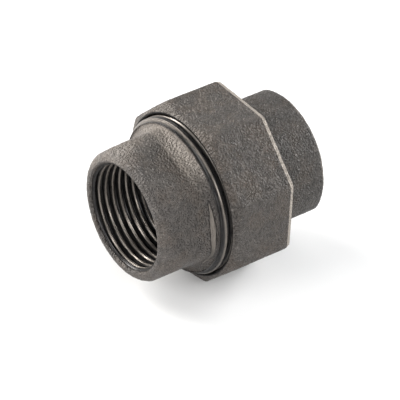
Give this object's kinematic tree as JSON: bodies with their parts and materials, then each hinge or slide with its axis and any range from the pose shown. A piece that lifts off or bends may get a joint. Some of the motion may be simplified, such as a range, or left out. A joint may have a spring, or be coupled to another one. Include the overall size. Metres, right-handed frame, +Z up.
{
  "type": "pipe union",
  "caption": "Pipe union with female pipe threads at both ends and a screwed eight-sided nut that joins the two halves against a flat gasket.",
  "frame": {"origin": "on the pipe axis at mid length", "axes": "+X along the pipe axis from the threaded end to the tail piece, +Z up, square to the nut flat that the union rests on"},
  "size_m": [0.0564, 0.0508, 0.0508],
  "materials": {
    "end_iron": "black sand-cast malleable iron, machined threads",
    "nut_iron": "black sand-cast malleable iron, coarse grain",
    "tail_iron": "black sand-cast malleable iron",
    "gasket_rubber": "matt black fibre-filled rubber"
  },
  "bodies": {
    "threaded_end": {"threaded_end": "end_iron"},
    "seal": {"flat_gasket": "gasket_rubber"},
    "nut": {"union_nut": "nut_iron"},
    "tail": {"tail_piece": "tail_iron"}
  },
  "joints": [
    {"name": "nut_travel", "type": "slide", "parent": "threaded_end", "child": "seal", "axis": [1, 0, 0], "range_m": [0, 0.00924]},
    {"name": "nut_spin", "type": "hinge", "parent": "seal", "child": "nut", "pos_m": [0.002, 0, 0], "axis": [1, 0, 0], "range_deg": [0, 1440]},
    {"name": "tail_swivel", "type": "hinge", "parent": "seal", "child": "tail", "pos_m": [0.016, 0, 0], "axis": [1, 0, 0], "continuous": true}
  ],
  "couplings": [
    {"joint": "nut_travel", "follows": "nut_spin", "m_per_rad": 0.00036749}
  ]
}
